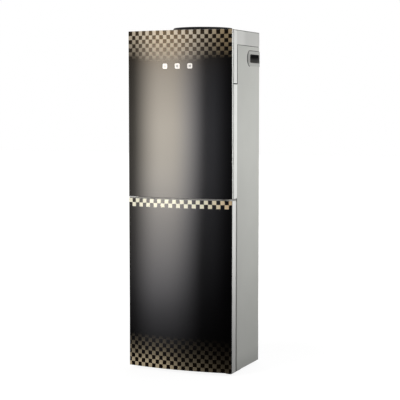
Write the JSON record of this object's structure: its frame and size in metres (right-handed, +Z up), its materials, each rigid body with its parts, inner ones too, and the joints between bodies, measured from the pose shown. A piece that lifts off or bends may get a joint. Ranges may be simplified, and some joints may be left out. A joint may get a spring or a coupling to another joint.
{
  "type": "water dispenser",
  "caption": "Tall floor-standing bottled water dispenser with bowed black glass doors over a tap bay and a lower cabinet, a bottle seat on top and a condenser at the back.",
  "frame": {"origin": "centre of the footprint, on the floor", "axes": "+Z up, the doors face -Y, +X to the viewer's right, on the side of the door hinges"},
  "size_m": [0.3144, 0.3147, 0.967],
  "materials": {
    "door_glass": "gloss, black enamel behind it",
    "silver_plastic": "satin silver grey",
    "cover_plastic": "satin light grey",
    "silver_sheet": "satin grey powder coat",
    "zinc_sheet": "zinc coated",
    "black_metal": "satin black",
    "black_rubber": "matt",
    "grey_rubber": "matt",
    "white_plastic": "satin",
    "black_plastic": "satin",
    "dark_plastic": "fine grain",
    "stainless": "brushed",
    "foam": "bead foam",
    "aluminium": "plain",
    "copper": "drawn copper",
    "hose": "silicone",
    "tap_body": "silver",
    "red_plastic": "red",
    "blue_plastic": "blue",
    "lens": "frosted light guide",
    "board": "laminate",
    "magnet": "ferrite",
    "chrome_pin": "polished"
  },
  "bodies": {
    "cabinet": {"base_pan": "zinc_sheet", "bottom_hinge": "zinc_sheet", "cabinet_liner": "white_plastic", "cold_tank": "stainless", "cold_tank_insulation": "foam", "cold_tap": "tap_body", "compressor": "black_metal", "compressor_grommets": "black_rubber", "compressor_terminal_cover": "black_plastic", "condenser_brackets": "black_plastic", "condenser_tube": "black_metal", "condenser_wires": "black_metal", "cord_gland": "black_rubber", "door_magnet": "magnet", "drain_pipe": "white_plastic", "evaporator_sleeve": "aluminium", "feet": "black_rubber", "filter_drier": "copper", "front_frame": "silver_plastic", "hot_tank": "stainless", "hot_tank_insulation": "foam", "hot_tank_shelf": "zinc_sheet", "hot_tap": "tap_body", "indicator_board": "board", "indicator_lenses": "lens", "left_hand_grip": "cover_plastic", "left_side_panel": "silver_sheet", "mid_beam": "zinc_sheet", "mid_hinge": "zinc_sheet", "rear_panel": "zinc_sheet", "refrigerant_lines": "copper", "right_hand_grip": "cover_plastic", "right_side_panel": "silver_sheet", "switch_housing": "black_plastic", "tank_baffle": "white_plastic", "tank_shelf": "zinc_sheet", "tap_bay": "dark_plastic", "top_cover": "cover_plastic", "top_hinge_pin": "chrome_pin", "water_hoses": "hose"},
    "upper_door": {"upper_door_frame": "silver_plastic", "upper_door_glass": "door_glass", "door_keeper": "zinc_sheet"},
    "lower_door": {"lower_door_frame": "silver_plastic", "lower_door_glass": "door_glass", "lower_door_liner": "white_plastic", "lower_door_gasket": "grey_rubber"},
    "hot_lever": {"hot_tap_lever": "red_plastic"},
    "cold_lever": {"cold_tap_lever": "blue_plastic"},
    "hot_stem": {"hot_tap_stem": "tap_body"},
    "cold_stem": {"cold_tap_stem": "tap_body"},
    "tray": {"drip_tray": "black_plastic"},
    "grille": {"drip_grille": "stainless"},
    "seat": {"bottle_seat": "black_plastic", "water_probe": "white_plastic"},
    "hot_rocker": {"hot_switch_rocker": "red_plastic"},
    "cold_rocker": {"cold_switch_rocker": "blue_plastic"},
    "cap": {"drain_cap": "black_plastic"},
    "shelf": {"cabinet_shelf": "white_plastic"}
  },
  "joints": [
    {"name": "upper_door_hinge", "type": "hinge", "parent": "cabinet", "child": "upper_door", "pos_m": [0.151, -0.1345, 0.72], "axis": [0, 0, 1], "range_deg": [0, 95]},
    {"name": "lower_door_hinge", "type": "hinge", "parent": "cabinet", "child": "lower_door", "pos_m": [0.146, -0.1254, 0.247], "axis": [0, 0, 1], "range_deg": [0, 110]},
    {"name": "hot_lever_pivot", "type": "hinge", "parent": "cabinet", "child": "hot_lever", "pos_m": [-0.048, -0.0476, 0.749], "axis": [1, 0, 0], "range_deg": [0, 10], "stiffness_Nm_per_rad": 1.2, "springref_deg": -2.86},
    {"name": "cold_lever_pivot", "type": "hinge", "parent": "cabinet", "child": "cold_lever", "pos_m": [0.048, -0.0476, 0.749], "axis": [1, 0, 0], "range_deg": [0, 10], "stiffness_Nm_per_rad": 1.2, "springref_deg": -2.86},
    {"name": "hot_stem_slide", "type": "slide", "parent": "cabinet", "child": "hot_stem", "axis": [0, 0, 1], "range_m": [-0.0038, 0]},
    {"name": "cold_stem_slide", "type": "slide", "parent": "cabinet", "child": "cold_stem", "axis": [0, 0, 1], "range_m": [-0.0038, 0]},
    {"name": "drip_tray_lift", "type": "slide", "parent": "cabinet", "child": "tray", "axis": [0, 0, 1], "range_m": [0, 0.03]},
    {"name": "drip_grille_lift", "type": "slide", "parent": "tray", "child": "grille", "axis": [0, 0, 1], "range_m": [0, 0.02]},
    {"name": "bottle_seat_lift", "type": "slide", "parent": "cabinet", "child": "seat", "axis": [0, 0, 1], "range_m": [0, 0.04]},
    {"name": "hot_switch_rock", "type": "hinge", "parent": "cabinet", "child": "hot_rocker", "pos_m": [-0.018, 0.1268, 0.8775], "axis": [-1, 0, 0], "range_deg": [0, 18]},
    {"name": "cold_switch_rock", "type": "hinge", "parent": "cabinet", "child": "cold_rocker", "pos_m": [0.018, 0.1268, 0.8775], "axis": [-1, 0, 0], "range_deg": [0, 18]},
    {"name": "drain_cap_turn", "type": "hinge", "parent": "cabinet", "child": "cap", "pos_m": [-0.06, 0.14, 0.29], "axis": [0, 1, 0], "range_deg": [0, 360]},
    {"name": "cabinet_shelf_lift", "type": "slide", "parent": "cabinet", "child": "shelf", "axis": [0, 0, 1], "range_m": [0, 0.02]}
  ],
  "couplings": [
    {"joint": "hot_stem_slide", "follows": "hot_lever_pivot", "m_per_rad": -0.0212},
    {"joint": "cold_stem_slide", "follows": "cold_lever_pivot", "m_per_rad": -0.0212}
  ]
}
